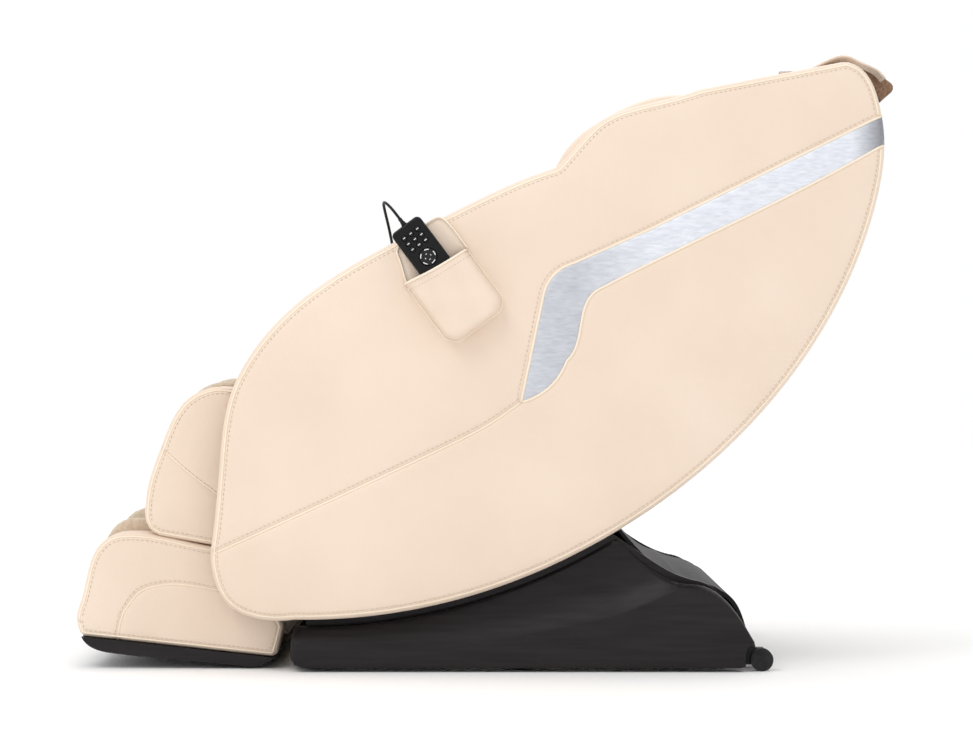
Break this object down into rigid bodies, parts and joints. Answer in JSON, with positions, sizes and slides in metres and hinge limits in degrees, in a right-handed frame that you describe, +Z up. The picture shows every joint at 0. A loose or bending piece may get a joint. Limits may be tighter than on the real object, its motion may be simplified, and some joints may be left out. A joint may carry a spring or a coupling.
{
  "type": "massage chair",
  "caption": "Reclining massage chair: leaf-shaped padded sides, cradle seat on a dark base, leg rest, massage carriage and a corded handset in a side pocket.",
  "frame": {"origin": "on the floor, at the middle of the base's middle rubber skid", "axes": "+Z up, +X from the feet to the head end, -Y the sitter's left"},
  "size_m": [1.4711, 0.7935, 1.102],
  "materials": {
    "cream_leather": "soft satin",
    "taupe_fabric": "matte weave",
    "brown_fabric": "matte weave",
    "silver_foil": "metallic foil",
    "dark_plastic": "brushed",
    "black_plastic": "matte",
    "gloss_black": "gloss",
    "grey_key": "gloss",
    "cord_rubber": "matte",
    "rubber": "matte",
    "painted_steel": "satin",
    "steel": "brushed"
  },
  "bodies": {
    "base": {"base_frame": "painted_steel", "base_cover_left": "dark_plastic", "base_cover_right": "dark_plastic", "base_fairing": "dark_plastic", "rear_cover": "black_plastic", "rubber_skids": "rubber", "control_box": "black_plastic", "air_pump": "black_plastic", "power_inlet": "black_plastic"},
    "power_switch": {"power_switch": "gloss_black"},
    "wheels": {"transport_wheels": "rubber"},
    "front_rollers": {"cradle_rollers_front": "rubber"},
    "rear_rollers": {"cradle_rollers_rear": "rubber"},
    "recline_cylinder": {"recline_cylinder": "painted_steel"},
    "recline_rod": {"recline_rod": "steel"},
    "seat": {"seat_frame": "painted_steel", "cradle_rails": "steel", "side_panel_left": "cream_leather", "side_panel_right": "cream_leather", "trim_strips": "silver_foil", "arm_pad_left": "cream_leather", "arm_pad_right": "cream_leather", "shoulder_wings": "cream_leather", "seat_cushion": "cream_leather", "back_cushion": "cream_leather", "rear_shell": "black_plastic", "crown_cushion": "cream_leather", "back_flap": "brown_fabric", "handset_pocket": "cream_leather", "cord_gland": "black_plastic", "handset_cord": "cord_rubber", "leg_motor": "black_plastic"},
    "head_pillow": {"head_pillow": "cream_leather"},
    "handset": {"handset_shell": "gloss_black"},
    "carriage": {"massage_carriage": "painted_steel"},
    "kneading_shaft": {"kneading_shaft": "steel"},
    "leg": {"leg_frame": "painted_steel", "calf_side_left": "cream_leather", "calf_side_right": "cream_leather", "calf_lining": "taupe_fabric"},
    "foot": {"foot_side_left": "cream_leather", "foot_side_right": "cream_leather", "foot_lining": "taupe_fabric", "sole_plate": "dark_plastic"},
    "key_1": {"key_1": "grey_key"},
    "key_2": {"key_2": "grey_key"},
    "key_3": {"key_3": "grey_key"},
    "key_4": {"key_4": "grey_key"},
    "key_5": {"key_5": "grey_key"},
    "key_6": {"key_6": "grey_key"},
    "key_7": {"key_7": "grey_key"},
    "key_8": {"key_8": "grey_key"},
    "key_9": {"key_9": "grey_key"},
    "direction_ring": {"direction_ring": "grey_key"},
    "massage_arm_left": {"massage_arm_left": "steel"},
    "massage_roller_left_upper": {"massage_roller_left_upper": "rubber"},
    "massage_roller_left_lower": {"massage_roller_left_lower": "rubber"},
    "massage_arm_right": {"massage_arm_right": "steel"},
    "massage_roller_right_upper": {"massage_roller_right_upper": "rubber"},
    "massage_roller_right_lower": {"massage_roller_right_lower": "rubber"}
  },
  "joints": [
    {"name": "recline", "type": "hinge", "parent": "base", "child": "seat", "pos_m": [-0.384, 0, 1.13], "axis": [0, 1, 0], "range_deg": [0, 20]},
    {"name": "cylinder_tilt", "type": "hinge", "parent": "base", "child": "recline_cylinder", "pos_m": [0.126, 0, 0.24665], "axis": [0, 1, 0], "range_deg": [0, 10.02]},
    {"name": "rod_stroke", "type": "slide", "parent": "recline_cylinder", "child": "recline_rod", "axis": [-0.9659, 0, -0.2588], "range_m": [0, 0.33515]},
    {"name": "front_roller_spin", "type": "hinge", "parent": "base", "child": "front_rollers", "pos_m": [-0.31295, 0, 0.11398], "axis": [0, 1, 0], "continuous": true},
    {"name": "rear_roller_spin", "type": "hinge", "parent": "base", "child": "rear_rollers", "pos_m": [0.03026, 0, 0.19955], "axis": [0, 1, 0], "continuous": true},
    {"name": "wheel_spin", "type": "hinge", "parent": "base", "child": "wheels", "pos_m": [0.419, 0, 0.02], "axis": [0, 1, 0], "continuous": true},
    {"name": "power_rocker", "type": "hinge", "parent": "base", "child": "power_switch", "pos_m": [0.391, 0.126, 0.057], "axis": [0, 1, 0], "range_deg": [-8, 8]},
    {"name": "pillow_flip", "type": "hinge", "parent": "seat", "child": "head_pillow", "pos_m": [0.436, 0, 1.066], "axis": [0, 1, 0], "range_deg": [0, 110]},
    {"name": "handset_lift", "type": "slide", "parent": "seat", "child": "handset", "axis": [-0.6, 0, 0.8], "range_m": [0, 0.13], "deforming": ["handset_cord"]},
    {"name": "key_1_press", "type": "slide", "parent": "handset", "child": "key_1", "axis": [0, 1, 0], "range_m": [0, 0.001], "stiffness_N_per_m": 400, "springref_m": -0.001},
    {"name": "key_2_press", "type": "slide", "parent": "handset", "child": "key_2", "axis": [0, 1, 0], "range_m": [0, 0.001], "stiffness_N_per_m": 400, "springref_m": -0.001},
    {"name": "key_3_press", "type": "slide", "parent": "handset", "child": "key_3", "axis": [0, 1, 0], "range_m": [0, 0.001], "stiffness_N_per_m": 400, "springref_m": -0.001},
    {"name": "key_4_press", "type": "slide", "parent": "handset", "child": "key_4", "axis": [0, 1, 0], "range_m": [0, 0.001], "stiffness_N_per_m": 400, "springref_m": -0.001},
    {"name": "key_5_press", "type": "slide", "parent": "handset", "child": "key_5", "axis": [0, 1, 0], "range_m": [0, 0.001], "stiffness_N_per_m": 400, "springref_m": -0.001},
    {"name": "key_6_press", "type": "slide", "parent": "handset", "child": "key_6", "axis": [0, 1, 0], "range_m": [0, 0.001], "stiffness_N_per_m": 400, "springref_m": -0.001},
    {"name": "key_7_press", "type": "slide", "parent": "handset", "child": "key_7", "axis": [0, 1, 0], "range_m": [0, 0.001], "stiffness_N_per_m": 400, "springref_m": -0.001},
    {"name": "key_8_press", "type": "slide", "parent": "handset", "child": "key_8", "axis": [0, 1, 0], "range_m": [0, 0.001], "stiffness_N_per_m": 400, "springref_m": -0.001},
    {"name": "key_9_press", "type": "slide", "parent": "handset", "child": "key_9", "axis": [0, 1, 0], "range_m": [0, 0.001], "stiffness_N_per_m": 400, "springref_m": -0.001},
    {"name": "ring_press", "type": "slide", "parent": "handset", "child": "direction_ring", "axis": [0, 1, 0], "range_m": [0, 0.001], "stiffness_N_per_m": 400, "springref_m": -0.001},
    {"name": "massage_travel", "type": "hinge", "parent": "seat", "child": "carriage", "pos_m": [-0.384, 0, 1.13], "axis": [0, 1, 0], "range_deg": [-18, 9]},
    {"name": "knead_spin", "type": "hinge", "parent": "carriage", "child": "kneading_shaft", "pos_m": [0.42573, 0, 0.6625], "axis": [0, 1, 0], "continuous": true},
    {"name": "arm_left_rock", "type": "hinge", "parent": "carriage", "child": "massage_arm_left", "pos_m": [0.42573, 0, 0.6625], "axis": [0, 1, 0], "range_deg": [-5, 5]},
    {"name": "left_upper_roller_spin", "type": "hinge", "parent": "massage_arm_left", "child": "massage_roller_left_upper", "pos_m": [0.42973, 0, 0.72712], "axis": [0, 1, 0], "continuous": true},
    {"name": "left_lower_roller_spin", "type": "hinge", "parent": "massage_arm_left", "child": "massage_roller_left_lower", "pos_m": [0.37177, 0, 0.62673], "axis": [0, 1, 0], "continuous": true},
    {"name": "arm_right_rock", "type": "hinge", "parent": "carriage", "child": "massage_arm_right", "pos_m": [0.42573, 0, 0.6625], "axis": [0, 1, 0], "range_deg": [-5, 5]},
    {"name": "right_upper_roller_spin", "type": "hinge", "parent": "massage_arm_right", "child": "massage_roller_right_upper", "pos_m": [0.42973, 0, 0.72712], "axis": [0, 1, 0], "continuous": true},
    {"name": "right_lower_roller_spin", "type": "hinge", "parent": "massage_arm_right", "child": "massage_roller_right_lower", "pos_m": [0.37177, 0, 0.62673], "axis": [0, 1, 0], "continuous": true},
    {"name": "leg_lift", "type": "hinge", "parent": "seat", "child": "leg", "pos_m": [-0.495, 0, 0.462], "axis": [0, 1, 0], "range_deg": [0, 80]},
    {"name": "foot_extension", "type": "slide", "parent": "leg", "child": "foot", "axis": [0, 0, -1], "range_m": [0, 0.15], "stiffness_N_per_m": 500, "springref_m": -0.35}
  ],
  "couplings": [
    {"joint": "cylinder_tilt", "follows": "recline", "ratio": 0.5},
    {"joint": "rod_stroke", "follows": "recline", "m_per_rad": 0.95727},
    {"joint": "front_roller_spin", "follows": "recline", "ratio": -55.556},
    {"joint": "rear_roller_spin", "follows": "recline", "ratio": -55.556},
    {"joint": "arm_right_rock", "follows": "arm_left_rock", "ratio": -1}
  ]
}
